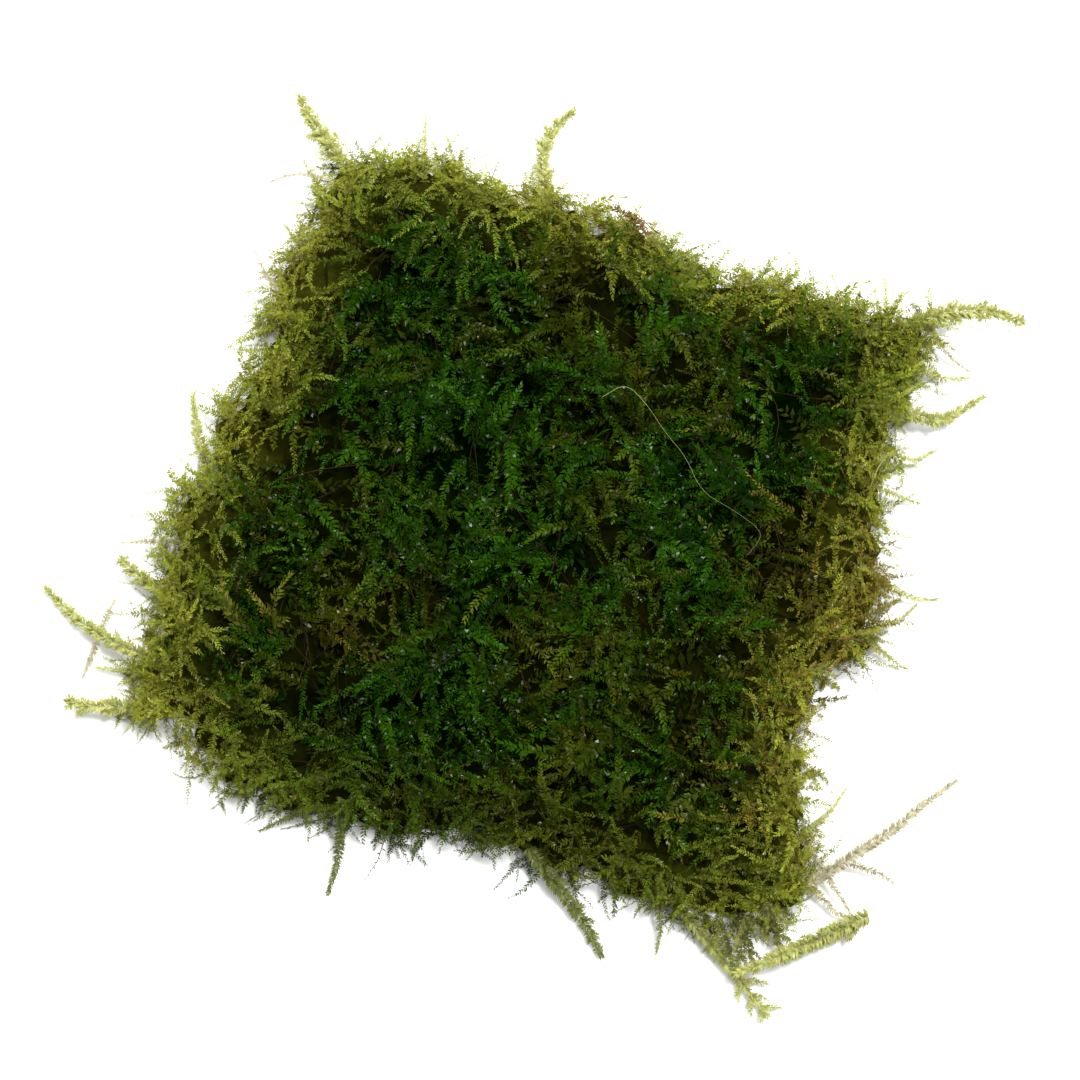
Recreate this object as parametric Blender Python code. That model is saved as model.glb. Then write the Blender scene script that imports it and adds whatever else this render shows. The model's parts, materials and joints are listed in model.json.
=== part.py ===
"""Moss clump: a felted square mat of leafy moss shoots that lies flat on a table.

One lumpy domed solid stands for the felted mat, out to the tips of its leaves. The loose shoots
that stick out around its edge are pieces of their own: each is a tapered tube as thick as the
shoot with its leaves, and a shoot that branches is split at its fork.

All sizes are in millimetres and become metres where the objects are made.
"""
import math
from collections import namedtuple

import bmesh
import bpy
import numpy as np
from mathutils import Matrix, Vector, noise
from mathutils.bvhtree import BVHTree

MM = 0.001
CLEARANCE = 0.3             # gap between two neighbouring solids

# The mat: about 80 mm square, thick in the middle and thin at its ragged edge.
CROWN_HEIGHT = 15.0         # top of the middle above the table
RIM_HEIGHT = 1.6            # height at which the mat is widest
DOME_SQUARENESS = 3.0       # higher is flatter on top and steeper at the edge
UNDERSIDE_INSET = 0.97      # the flat underside's width against the rim's
GRID_CELLS = 34             # cells along one side of the mat's surface
LUMP_SIZE = 11.0            # width of a tuft on the top
LUMP_HEIGHT = 2.6           # how far a tuft stands out
OUTLINE_STEPS = 6           # points read from the smooth outline between two of its corners

# Plan of the mat's edge, counter-clockwise from the front left corner.
OUTLINE = [
    (-40.5, -38.5), (-34, -40.5), (-25, -45), (-12, -44.5), (-5, -44), (2, -41.5), (20, -41), (37, -41.5),
    (43, -38), (45, -30), (40, -20), (39, -8), (43.5, -4), (44, 1), (41, 11), (38.5, 22),
    (38.5, 34), (37.5, 39.5), (27, 38.5), (17, 39), (11, 37), (-2, 40), (-7, 39), (-13, 40.5),
    (-19, 38.5), (-27, 40), (-36, 37.5), (-39.5, 34), (-40.5, 28), (-42, 16), (-40.5, 8), (-43, -1),
    (-42, -6), (-44, -16), (-41.5, -27),
]

# Loose shoots. Each leaves the mat near `root` in the direction `heading` (degrees from +X,
# counter-clockwise), bends evenly by `curl` degrees along its `length`, and goes from `root_z`
# to `tip_z` above the table. `width` is the leafy shoot's width at its root.
Shoot = namedtuple("Shoot", "name root heading curl length width root_z tip_z colour")
LEAFY = (0.20, 0.27, 0.045)
PALE = (0.38, 0.40, 0.12)
DEAD = (0.20, 0.12, 0.035)
SHOOTS = [
    Shoot("back_left_horn", (-38, 34), 149, -13, 11.0, 3.0, 4.0, 3.0, LEAFY),
    Shoot("back_left_bristle", (-39, 31), 145, 80, 8.5, 1.1, 3.0, 1.0, PALE),
    Shoot("left_upper_spur", (-40, 22), 131, 16, 4.5, 1.6, 3.0, 1.2, LEAFY),
    Shoot("left_hair", (-41, 16), 143, -10, 5.5, 1.0, 3.5, 2.0, PALE),
    Shoot("left_mid_hook", (-39.5, -8.5), 150, -40, 10.0, 2.6, 3.0, 1.5, LEAFY),
    Shoot("left_bristle", (-42, -19), 172, 36, 5.5, 1.0, 3.0, 1.2, PALE),
    Shoot("left_tuft", (-40, -24), 187, -40, 7.0, 3.0, 3.0, 2.2, LEAFY),
    Shoot("long_left_shoot", (-38, -32.5), 184, -34, 17.0, 2.4, 3.8, 1.2, LEAFY),
    Shoot("long_left_branch_back", (-46.5, -30.4), 95, -10, 2.6, 1.3, 1.9, 1.0, PALE),
    Shoot("long_left_branch_front", (-46.5, -34.6), 270, -10, 2.2, 1.2, 1.6, 1.0, PALE),
    Shoot("left_low_spur", (-39, -34), 197, -5, 6.2, 1.6, 2.0, 1.0, LEAFY),
    Shoot("left_corner_horn", (-38, -37), 228, -50, 9.5, 3.2, 3.0, 2.0, LEAFY),
    Shoot("front_left_spur", (-14, -43), 216, 8, 7.0, 1.6, 2.5, 1.1, LEAFY),
    Shoot("front_left_tail", (-11, -43.5), 295, -28, 8.0, 2.0, 3.0, 1.2, LEAFY),
    Shoot("front_dead_tip", (-5.5, -43), 290, -45, 5.8, 1.3, 2.5, 1.0, DEAD),
    Shoot("front_mid_tail", (12, -40.5), 339, -25, 13.5, 2.6, 3.0, 1.2, LEAFY),
    Shoot("front_spike", (27.5, -40), 315, -44, 6.0, 1.8, 3.0, 1.2, LEAFY),
    Shoot("front_right_tail", (32, -41), 331, -4, 14.0, 2.2, 2.0, 1.2, LEAFY),
    Shoot("corner_loop_out", (43.8, -29), 323, -2, 7.6, 1.2, 3.0, 2.0, PALE),
    Shoot("corner_loop_low", (41.8, -31), 333, -2, 7.5, 2.0, 2.2, 1.6, PALE),
    Shoot("corner_loop_back", (51.2, -35), 224, -4, 14.8, 2.4, 2.2, 4.2, LEAFY),
    Shoot("long_right_shoot", (46.8, -29.3), 46, 16, 18.0, 1.8, 3.0, 1.4, PALE),
    Shoot("long_right_branch", (50.2, -28.5), 8, -25, 3.4, 1.2, 2.1, 1.0, PALE),
    Shoot("right_front_spur", (42, -27), 45, 35, 6.5, 1.4, 4.0, 3.0, LEAFY),
    Shoot("right_point", (42, -1.5), 328, 24, 6.0, 1.6, 2.5, 1.2, LEAFY),
    Shoot("right_fork_back", (41.5, 6), 325, 64, 7.2, 1.6, 3.5, 1.4, LEAFY),
    Shoot("right_fork_front", (43.5, 0.5), 22, 50, 4.4, 1.3, 2.5, 1.2, LEAFY),
    Shoot("right_thorn", (38.5, 16.5), 357, 10, 4.6, 1.4, 2.5, 1.2, LEAFY),
    Shoot("right_small_hook", (37.5, 22), 320, 110, 6.4, 1.4, 3.0, 1.4, LEAFY),
    Shoot("right_hook", (37.5, 27), 341, 89, 10.0, 2.2, 3.5, 1.8, LEAFY),
    Shoot("right_tuft", (37, 35), 300, 100, 7.6, 1.8, 3.0, 1.2, LEAFY),
    Shoot("right_whisker", (37.5, 38), 322, 29, 7.0, 1.0, 4.0, 1.0, PALE),
    Shoot("right_corner_horn", (36.5, 37.5), 51, -54, 13.0, 2.8, 5.0, 3.0, LEAFY),
    Shoot("corner_spike", (32, 38), 95, 21, 5.0, 1.4, 3.0, 1.5, LEAFY),
    Shoot("back_horn", (-13, 39.5), 134, -78, 12.0, 2.4, 4.0, 2.2, LEAFY),
    Shoot("back_thin_stem", (-20.5, 37.5), 88, 8, 5.4, 0.9, 3.0, 2.0, DEAD),
    Shoot("back_spike", (-29, 38), 115, -10, 6.2, 1.6, 3.0, 1.4, LEAFY),
    Shoot("back_small_spike", (-25.5, 38.5), 109, 19, 4.6, 1.3, 3.0, 1.6, LEAFY),
]
PATH_STEP = 0.25            # spacing of the points that test a shoot against the mat
TUBE_STEP = 1.9             # spacing of the points that its tube keeps
TIP_TAPER = 0.4             # a shoot's width at its tip against its root
TABLE_GAP = 0.2             # least height of a shoot's lower side above the table
TUBE_SIDES_RESOLUTION = 1   # a bevel resolution of 1 makes a six-sided tube


def clear_scene():
    for old in list(bpy.data.objects):
        bpy.data.objects.remove(old, do_unlink=True)


def plant_material(name, colour, roughness):
    material = bpy.data.materials.new(name)
    material.use_nodes = True
    shader = material.node_tree.nodes["Principled BSDF"]
    shader.inputs["Base Color"].default_value = (*colour, 1.0)
    shader.inputs["Roughness"].default_value = roughness
    shader.inputs["Metallic"].default_value = 0.0
    return material


def smooth_closed_curve(corners, steps):
    """Catmull-Rom curve through the corners, closed."""
    points = []
    count = len(corners)
    for i in range(count):
        p0, p1, p2, p3 = (np.array(corners[(i + k - 1) % count], float) for k in range(4))
        for step in range(steps):
            t = step / steps
            points.append(0.5 * (2 * p1 + (p2 - p0) * t + (2 * p0 - 5 * p1 + 4 * p2 - p3) * t**2
                                 + (3 * p1 - p0 - 3 * p2 + p3) * t**3))
    return np.array(points)


def edge_radius_of_angle():
    """The mat's radius as a function of the angle seen from its middle."""
    edge = smooth_closed_curve(OUTLINE, OUTLINE_STEPS)
    angles = np.arctan2(edge[:, 1], edge[:, 0])
    radii = np.hypot(edge[:, 0], edge[:, 1])
    return lambda angle: float(np.interp(angle, angles, radii, period=2 * math.pi))


def mat_top(x, y, ring):
    """Height of the mat's top: a dome with tufts that fade out towards the rim."""
    dome = math.sqrt(max(0.0, 1.0 - ring**DOME_SQUARENESS))
    tufts = noise.fractal(Vector((x, y, 0.0)) / LUMP_SIZE, 1.0, 2.0, 2)
    return RIM_HEIGHT + (CROWN_HEIGHT - RIM_HEIGHT) * dome + LUMP_HEIGHT * tufts * dome


def make_mat(collection, parent):
    """A square grid stretched to the outline and domed, then closed by a flat underside."""
    shape = bmesh.new()
    bmesh.ops.create_grid(shape, x_segments=GRID_CELLS, y_segments=GRID_CELLS, size=1.0)
    top_faces = list(shape.faces)
    closing = bmesh.ops.extrude_face_region(shape, geom=top_faces)
    underside = {item for item in closing["geom"] if isinstance(item, bmesh.types.BMVert)}
    radius_at = edge_radius_of_angle()
    for vertex in shape.verts:
        ring = max(abs(vertex.co.x), abs(vertex.co.y))
        angle = math.atan2(vertex.co.y, vertex.co.x)
        reach = ring * radius_at(angle)
        if vertex in underside:
            reach *= UNDERSIDE_INSET
        x, y = reach * math.cos(angle), reach * math.sin(angle)
        z = 0.0 if vertex in underside else mat_top(x, y, ring)
        vertex.co = Vector((x, y, z)) * MM
    bottom = [face for face in shape.faces if all(vertex in underside for vertex in face.verts)]
    bmesh.ops.dissolve_faces(shape, faces=bottom, use_verts=True)
    bmesh.ops.recalc_face_normals(shape, faces=shape.faces)
    mesh = bpy.data.meshes.new("moss_mat")
    shape.to_mesh(mesh)
    shape.free()
    mesh.shade_smooth()
    mesh.set_sharp_from_angle(angle=math.radians(60))
    mesh.materials.append(plant_material("deep_green_moss", (0.045, 0.085, 0.012), 0.7))
    mat = bpy.data.objects.new("moss_mat", mesh)
    collection.objects.link(mat)
    mat.parent = parent
    return mat


def width_at(shoot, along):
    return shoot.width * (1.0 + (TIP_TAPER - 1.0) * along)


def shoot_path(shoot):
    """Points along a shoot at even spacing, each with its share of the length."""
    count = max(2, round(shoot.length / PATH_STEP))
    x, y = shoot.root
    path = []
    for i in range(count + 1):
        along = i / count
        droop = along * along * (3.0 - 2.0 * along)
        z = shoot.root_z + (shoot.tip_z - shoot.root_z) * droop
        z = max(z, width_at(shoot, along) / 2 + TABLE_GAP)
        path.append((Vector((x, y, z)), along))
        heading = math.radians(shoot.heading + shoot.curl * along)
        x += shoot.length / count * math.cos(heading)
        y += shoot.length / count * math.sin(heading)
    return path


def clear_of_mat(path, shoot, mat_tree):
    """The part of a path beyond the last point where the shoot would touch the mat."""
    first = 0
    for i, (point, along) in enumerate(path):
        near, normal, _, distance = mat_tree.find_nearest(point * MM)
        inside = (point * MM - near).dot(normal) < 0
        if inside or distance < (width_at(shoot, along) / 2 + CLEARANCE) * MM:
            first = i + 1
    return path[first:]


def make_shoot(shoot, collection, parent, mat_tree):
    """A tapered tube along the shoot's path, placed at its root and turned to its heading."""
    path = clear_of_mat(shoot_path(shoot), shoot, mat_tree)
    keep = max(2, round((len(path) - 1) * PATH_STEP / TUBE_STEP))
    picks = [path[round(i * (len(path) - 1) / keep)] for i in range(keep + 1)]
    place = Matrix.Translation(picks[0][0] * MM) @ Matrix.Rotation(math.radians(shoot.heading), 4, "Z")
    curve = bpy.data.curves.new(shoot.name, "CURVE")
    curve.dimensions = "3D"
    curve.bevel_depth = shoot.width / 2 * MM
    curve.bevel_resolution = TUBE_SIDES_RESOLUTION
    curve.use_fill_caps = True
    line = curve.splines.new("POLY")
    line.points.add(len(picks) - 1)
    to_local = place.inverted()
    for control, (point, along) in zip(line.points, picks):
        control.co = (*(to_local @ (point * MM)), 1.0)
        control.radius = width_at(shoot, along) / shoot.width
    curve.materials.append(plant_material(shoot.name + "_leaves", shoot.colour, 0.5))
    tube = bpy.data.objects.new(shoot.name, curve)
    collection.objects.link(tube)
    tube.parent = parent
    tube.location = place.to_translation()
    tube.rotation_euler = place.to_euler()
    return tube


def surface_tree(mesh_object):
    shape = bmesh.new()
    shape.from_mesh(mesh_object.data)
    tree = BVHTree.FromBMesh(shape)
    shape.free()
    return tree


def centre_on_origin(anchor, pieces):
    """Moves the whole clump so that the middle of its bounding box's underside is the origin."""
    depsgraph = bpy.context.evaluated_depsgraph_get()
    points = []
    for piece in pieces:
        evaluated = piece.evaluated_get(depsgraph)
        points += [piece.matrix_world @ vertex.co for vertex in evaluated.to_mesh().vertices]
        evaluated.to_mesh_clear()
    low = Vector(min(point[axis] for point in points) for axis in range(3))
    high = Vector(max(point[axis] for point in points) for axis in range(3))
    anchor.location = Vector((-(low.x + high.x) / 2, -(low.y + high.y) / 2, -low.z))


def main():
    clear_scene()
    collection = bpy.data.collections.new("moss_clump")
    bpy.context.scene.collection.children.link(collection)
    anchor = bpy.data.objects.new("moss_clump_anchor", None)
    collection.objects.link(anchor)
    mat = make_mat(collection, anchor)
    mat_tree = surface_tree(mat)
    pieces = [mat]
    for shoot in SHOOTS:
        pieces.append(make_shoot(shoot, collection, anchor, mat_tree))
    centre_on_origin(anchor, pieces)


main()
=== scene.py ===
"""Looks of a clump of aquatic moss: leafy shoots felted into a square mat, and loose shoots round it.

Every shoot is a thin stem with two rows of small pointed leaves. A handful of shoot shapes is grown
first, and the mat is then covered with thousands of them, rooted inside it and leaning every way.
The loose shoots follow the middle lines of their solids in the frame.
"""
import json
import math

import bmesh
import bpy
import numpy as np
from mathutils import Matrix, Vector, noise
from mathutils.bvhtree import BVHTree
from bpy.props import FloatProperty, FloatVectorProperty, IntProperty, PointerProperty

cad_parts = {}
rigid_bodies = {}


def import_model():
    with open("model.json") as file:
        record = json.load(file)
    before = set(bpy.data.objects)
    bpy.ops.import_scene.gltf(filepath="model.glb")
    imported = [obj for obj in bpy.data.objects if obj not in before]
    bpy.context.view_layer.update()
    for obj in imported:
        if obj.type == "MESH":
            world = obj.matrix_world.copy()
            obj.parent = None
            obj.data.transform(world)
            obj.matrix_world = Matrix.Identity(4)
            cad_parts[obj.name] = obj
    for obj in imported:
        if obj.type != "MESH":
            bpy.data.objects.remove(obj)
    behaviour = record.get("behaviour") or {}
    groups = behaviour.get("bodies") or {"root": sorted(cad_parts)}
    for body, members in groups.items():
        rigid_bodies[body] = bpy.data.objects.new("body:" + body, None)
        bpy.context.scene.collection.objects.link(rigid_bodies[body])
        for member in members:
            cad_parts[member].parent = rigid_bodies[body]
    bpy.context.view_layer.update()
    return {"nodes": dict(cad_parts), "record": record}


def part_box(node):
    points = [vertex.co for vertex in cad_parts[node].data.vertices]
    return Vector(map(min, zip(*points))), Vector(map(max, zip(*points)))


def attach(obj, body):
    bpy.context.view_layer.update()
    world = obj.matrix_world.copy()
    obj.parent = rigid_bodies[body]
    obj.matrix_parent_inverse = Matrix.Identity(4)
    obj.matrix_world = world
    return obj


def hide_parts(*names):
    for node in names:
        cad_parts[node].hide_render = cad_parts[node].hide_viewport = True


bl_info = {
    "name": "Moss Clump",
    "version": (1, 0, 0),
    "blender": (4, 5, 0),
    "location": "View3D > Sidebar > Moss",
    "description": "Grows a clump of aquatic moss on its frame",
    "category": "Object",
}

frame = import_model()
MM = 0.001
MAT_NODE = "moss_mat"
LOOSE_NODES = sorted(name for name in frame["nodes"] if name != MAT_NODE)


def linear(hex_colour):
    """The linear colour, with alpha 1, of an sRGB hex value such as "4c6a1e"."""
    channels = [int(hex_colour[i:i + 2], 16) / 255 for i in (0, 2, 4)]
    return (*(c / 12.92 if c <= 0.04045 else ((c + 0.055) / 1.055) ** 2.4 for c in channels), 1.0)


def add_node(tree, kind, inputs=None, **settings):
    """Adds a node with its settings. An input's value is a number, or one or more sockets to link."""
    node = tree.nodes.new(kind)
    for name, value in settings.items():
        setattr(node, name, value)
    for key, value in (inputs or {}).items():
        for item in value if isinstance(value, list) else [value]:
            if isinstance(item, bpy.types.NodeSocket):
                tree.links.new(item, node.inputs[key])
            else:
                node.inputs[key].default_value = item
    return node


def maths(tree, operation, *values):
    """The result of one operation on numbers or sockets."""
    return add_node(tree, "ShaderNodeMath", dict(enumerate(values)), operation=operation).outputs[0]


def mapped(tree, value, source=(0.0, 1.0), result=(0.0, 1.0)):
    """A value carried from one range to another and kept inside it."""
    return add_node(tree, "ShaderNodeMapRange", {
        "Value": value, "From Min": source[0], "From Max": source[1],
        "To Min": result[0], "To Max": result[1]}).outputs[0]


def mottle(tree, place, scale, detail=0.0):
    """Smooth noise in which one bump is about 1 / scale metres across."""
    return add_node(tree, "ShaderNodeTexNoise", {
        "Vector": place, "Scale": scale, "Detail": detail}).outputs["Fac"]


def blended(tree, factor, first, second):
    """A mix of two colours."""
    return add_node(tree, "ShaderNodeMix", {"Factor": factor, 6: first, 7: second},
                    data_type="RGBA").outputs[2]


# ---------------------------------------------------------------- settings

def colour_setting(name, hex_colour, description):
    return FloatVectorProperty(name=name, description=description, subtype="COLOR", size=4, min=0.0,
                               max=1.0, default=linear(hex_colour))


class MossLeafSettings(bpy.types.PropertyGroup):
    length: FloatProperty(name="Leaf Length", description="From a leaf's foot to its point",
                          default=0.90 * MM, unit="LENGTH")
    width: FloatProperty(name="Leaf Width", description="Across a leaf at its widest",
                         default=0.38 * MM, unit="LENGTH")
    spacing: FloatProperty(name="Leaf Spacing", description="Along the stem from one leaf to the next",
                           default=0.22 * MM, unit="LENGTH")
    angle: FloatProperty(name="Leaf Angle", description="Between the stem and a leaf halfway up",
                         default=math.radians(55), subtype="ANGLE")
    stem: FloatProperty(name="Stem Thickness", description="Radius of a side shoot's stem",
                        default=0.06 * MM, unit="LENGTH")


class MossCoverSettings(bpy.types.PropertyGroup):
    top_count: IntProperty(name="Top Shoots", description="Shoots on each quarter of the top",
                           default=780)
    edge_count: IntProperty(name="Edge Shoots", description="Shoots on each half of the edge",
                            default=650)
    # The old shoots' dark colour is partly painted shade.
    old_count: IntProperty(name="Old Shoots", description="Dark old shoots deep inside the mat",
                           default=380)
    under_count: IntProperty(name="Underside Shoots", description="Shoots pressed flat under the mat",
                             default=205)
    rim_count: IntProperty(name="Rim Filling", description="Broad shoots that fill the mat's thin edge",
                           default=440)
    stem_count: IntProperty(name="Old Stems", description="Bare old stems inside the mat", default=200)
    seed: IntProperty(name="Seed", description="Chooses where the shoots grow", default=7)


class MossColourSettings(bpy.types.PropertyGroup):
    deep: colour_setting("Deep Green", "102a03", "Older leaves down in the mat")
    fresh: colour_setting("Fresh Green", "2e5408", "Young leaves")
    olive: colour_setting("Olive", "44460c", "Ageing shoots")
    ochre: colour_setting("Ochre", "80742a", "Dying leaves on the right edge")
    # The fringe and loose colours are thin shoots lit through from behind: painted light that the glow
    # mixes in.
    fringe: colour_setting("Fringe Green", "b9bd42", "Thin shoots at the edge, lit through")
    loose: colour_setting("Loose Shoot", "bdbf70", "Thin loose shoots, lit through")
    pale: colour_setting("Pale Shoot", "bdb592", "Bleached thin shoots at the edge")


# ---------------------------------------------------------------- materials

def moss_leaf_material(name, colours, edge_glow, shade, root_shade=0.45, fringe=None, wetness=0.45):
    """Wet moss leaves, one cell thick: glossy with water, and light shines through them."""
    # Shade scales the whole colour; the layers deep in and under the mat are darkened with it as
    # painted shade.
    material = bpy.data.materials.new(name)
    material.use_nodes = True
    tree = material.node_tree
    tree.nodes.clear()
    tone, glow, age, along = (add_node(tree, "ShaderNodeAttribute", attribute_name=kind).outputs["Fac"]
                              for kind in ("tone", "glow", "age", "along"))
    place = add_node(tree, "ShaderNodeTexCoord").outputs["Object"]
    # Patches of the mat about 14 mm across age together, and single tufts of 3 mm differ a little.
    patch = mottle(tree, place, 70.0, 1.0)
    tuft = mottle(tree, place, 330.0)
    young = maths(tree, "MULTIPLY_ADD", tone, 0.7, tuft)
    green = mapped(tree, young, (0.45, 1.25))
    colour = blended(tree, green, colours.deep, colours.fresh)
    worn = maths(tree, "MULTIPLY_ADD", age, 0.35, patch)
    worn = maths(tree, "MULTIPLY_ADD", tone, -0.25, worn)
    olive = mapped(tree, worn, (0.36, 0.58), (0.0, 0.75))
    colour = blended(tree, olive, colour, colours.olive)
    # Painted light: single leaves let more or less of the glow through, which turns the colour to the
    # fringe colour.
    fine = mottle(tree, place, 1500.0)
    clear = mapped(tree, fine, (0.35, 0.6), (0.75 * edge_glow, edge_glow))
    lit = maths(tree, "MULTIPLY", glow, clear)
    colour = blended(tree, lit, colour, fringe or colours.fringe)
    # A few shoots, and most of those on the aged spots, have yellowed.
    yellow = maths(tree, "ADD", age, tone)
    yellow = mapped(tree, yellow, (0.93, 1.15))
    colour = blended(tree, yellow, colour, colours.ochre)
    # Darker at the root and lighter at the tip: painted shade deep in the mat, and partly older growth
    # at the root.
    tip = mapped(tree, along, result=(root_shade * shade, 1.2 * shade))
    colour = add_node(tree, "ShaderNodeVectorMath", {0: colour, "Scale": tip},
                      operation="SCALE").outputs[0]
    # Films and beads of water under a millimetre wide glint; the rest of a leaf hardly shines.
    wet = mapped(tree, fine, (0.58, 0.66), (0.0, wetness))
    gloss = add_node(tree, "ShaderNodeBsdfPrincipled", {
        "Base Color": colour, "Roughness": 0.3, "IOR": 1.40, "Specular IOR Level": wet})
    through = add_node(tree, "ShaderNodeBsdfTranslucent", {"Color": colour})
    both = add_node(tree, "ShaderNodeMixShader", {0: 0.35, 1: gloss.outputs[0], 2: through.outputs[0]})
    add_node(tree, "ShaderNodeOutputMaterial", {"Surface": both.outputs[0]})
    return material


def plain_material(name, hex_dark, hex_light, grain_mm, roughness):
    """A dry plant fibre or a table top: two close colours mottled at a real size."""
    material = bpy.data.materials.new(name)
    material.use_nodes = True
    tree = material.node_tree
    shader = tree.nodes["Principled BSDF"]
    place = add_node(tree, "ShaderNodeTexCoord").outputs["Object"]
    grain = mottle(tree, place, 1 / (grain_mm * MM), 2.0)
    colour = blended(tree, grain, linear(hex_dark), linear(hex_light))
    tree.links.new(colour, shader.inputs["Base Color"])
    shader.inputs["Roughness"].default_value = roughness
    shader.inputs["Specular IOR Level"].default_value = 0.1
    return material


# ---------------------------------------------------------------- geometry node trees

def new_geometry_tree(name, sockets):
    """A node group that takes and gives geometry, and its input sockets."""
    tree = bpy.data.node_groups.new(name, "GeometryNodeTree")
    tree.interface.new_socket("Geometry", in_out="OUTPUT", socket_type="NodeSocketGeometry")
    tree.interface.new_socket("Geometry", in_out="INPUT", socket_type="NodeSocketGeometry")
    for socket_name, kind in sockets:
        tree.interface.new_socket(socket_name, in_out="INPUT", socket_type="NodeSocket" + kind)
    return tree, add_node(tree, "NodeGroupInput").outputs


def random_number(tree, low, high, seed, kind="FLOAT"):
    """A random number, or vector, for each element."""
    keys = {"FLOAT": (2, 3, 1), "FLOAT_VECTOR": (0, 1, 0)}[kind]
    node = add_node(tree, "FunctionNodeRandomValue", {keys[0]: low, keys[1]: high, "Seed": seed},
                    data_type=kind)
    return node.outputs[keys[2]]


def stored(tree, geometry, name, value, data_type, domain):
    """Geometry with a value stored on it by name."""
    return add_node(tree, "GeometryNodeStoreNamedAttribute", {
        "Geometry": geometry, "Name": name, "Value": value},
        data_type=data_type, domain=domain).outputs[0]


def stored_value(tree, name, data_type="FLOAT"):
    return add_node(tree, "GeometryNodeInputNamedAttribute", {"Name": name},
                    data_type=data_type).outputs[0]


def turned_by(tree, rotation, step):
    """A rotation followed by another in its own axes."""
    return add_node(tree, "FunctionNodeRotateRotation", {"Rotation": rotation, "Rotate By": step},
                    rotation_space="LOCAL").outputs[0]


def leafy_shoot_tree():
    """Puts two rows of leaves and a three-sided stem on the input curves."""
    tree, given = new_geometry_tree("leafy shoot", [
        ("Leaf", "Object"), ("Leaf Spacing", "Float"), ("Leaf Angle", "Float"), ("Roundness", "Float"),
        ("Stem Radius", "Float"), ("Seed", "Int"), ("Material", "Material")])
    factor = add_node(tree, "GeometryNodeSplineParameter").outputs["Factor"]
    marked = stored(tree, given["Geometry"], "along", factor, "FLOAT", "POINT")
    fine = add_node(tree, "GeometryNodeResampleCurve", {
        "Curve": marked, "Length": given["Leaf Spacing"]}, mode="LENGTH")
    feet = add_node(tree, "GeometryNodeCurveToPoints", {"Curve": fine.outputs[0]}, mode="EVALUATED")
    along = stored_value(tree, "along")
    size = add_node(tree, "GeometryNodeInputRadius").outputs[0]

    facing = add_node(tree, "FunctionNodeAxesToRotation", {
        "Primary Axis": feet.outputs["Tangent"], "Secondary Axis": feet.outputs["Normal"]},
        primary_axis="Y", secondary_axis="X").outputs[0]
    index = add_node(tree, "GeometryNodeInputIndex").outputs[0]
    parity = maths(tree, "MODULO", index, 2.0)
    side = maths(tree, "MULTIPLY_ADD", parity, 2.0, -1.0)
    closing = mapped(tree, along, (0.55, 1.0), (1.0, 0.5))
    opening = maths(tree, "MULTIPLY", closing, given["Leaf Angle"])
    turn = maths(tree, "MULTIPLY", opening, side)
    turned = add_node(tree, "ShaderNodeCombineXYZ", {"Z": turn}).outputs[0]
    unruly = random_number(tree, (-0.45, -0.6, -0.22), (0.45, 0.6, 0.22), given["Seed"], "FLOAT_VECTOR")
    lie = add_node(tree, "ShaderNodeVectorMath", {0: turned, 1: unruly}, operation="ADD").outputs[0]
    lie = add_node(tree, "FunctionNodeEulerToRotation", {"Euler": lie}).outputs[0]
    flat = maths(tree, "MULTIPLY", given["Roundness"], -1.0)
    roll = add_node(tree, "ShaderNodeCombineXYZ", {
        "Y": random_number(tree, flat, given["Roundness"], given["Seed"])}).outputs[0]
    roll = add_node(tree, "FunctionNodeEulerToRotation", {"Euler": roll}).outputs[0]
    rotation = facing
    for step in (roll, lie):
        rotation = turned_by(tree, rotation, step)
    growth = random_number(tree, 0.75, 1.1, given["Seed"])
    small_tip = mapped(tree, along, (0.5, 1.0), (1.0, 0.62))
    scale = maths(tree, "MULTIPLY", growth, small_tip)
    scale = maths(tree, "MULTIPLY", scale, size)
    leaf = add_node(tree, "GeometryNodeObjectInfo", {"Object": given["Leaf"]}).outputs["Geometry"]
    leaves = add_node(tree, "GeometryNodeInstanceOnPoints", {
        "Points": feet.outputs["Points"], "Instance": leaf, "Rotation": rotation, "Scale": scale})
    leaves = add_node(tree, "GeometryNodeRealizeInstances", {"Geometry": leaves.outputs[0]})

    slim = mapped(tree, along, result=(1.0, 0.3))
    slim = maths(tree, "MULTIPLY", slim, given["Stem Radius"])
    profile = add_node(tree, "GeometryNodeCurvePrimitiveCircle", {"Resolution": 3, "Radius": 1.0})
    stem = add_node(tree, "GeometryNodeCurveToMesh", {
        "Curve": marked, "Profile Curve": profile.outputs["Curve"], "Scale": slim,
        "Fill Caps": True})
    joined = add_node(tree, "GeometryNodeJoinGeometry", {0: [leaves.outputs[0], stem.outputs[0]]})
    painted = add_node(tree, "GeometryNodeSetMaterial", {
        "Geometry": joined.outputs[0], "Material": given["Material"]})
    add_node(tree, "NodeGroupOutput", {0: painted.outputs[0]})
    return tree


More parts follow.
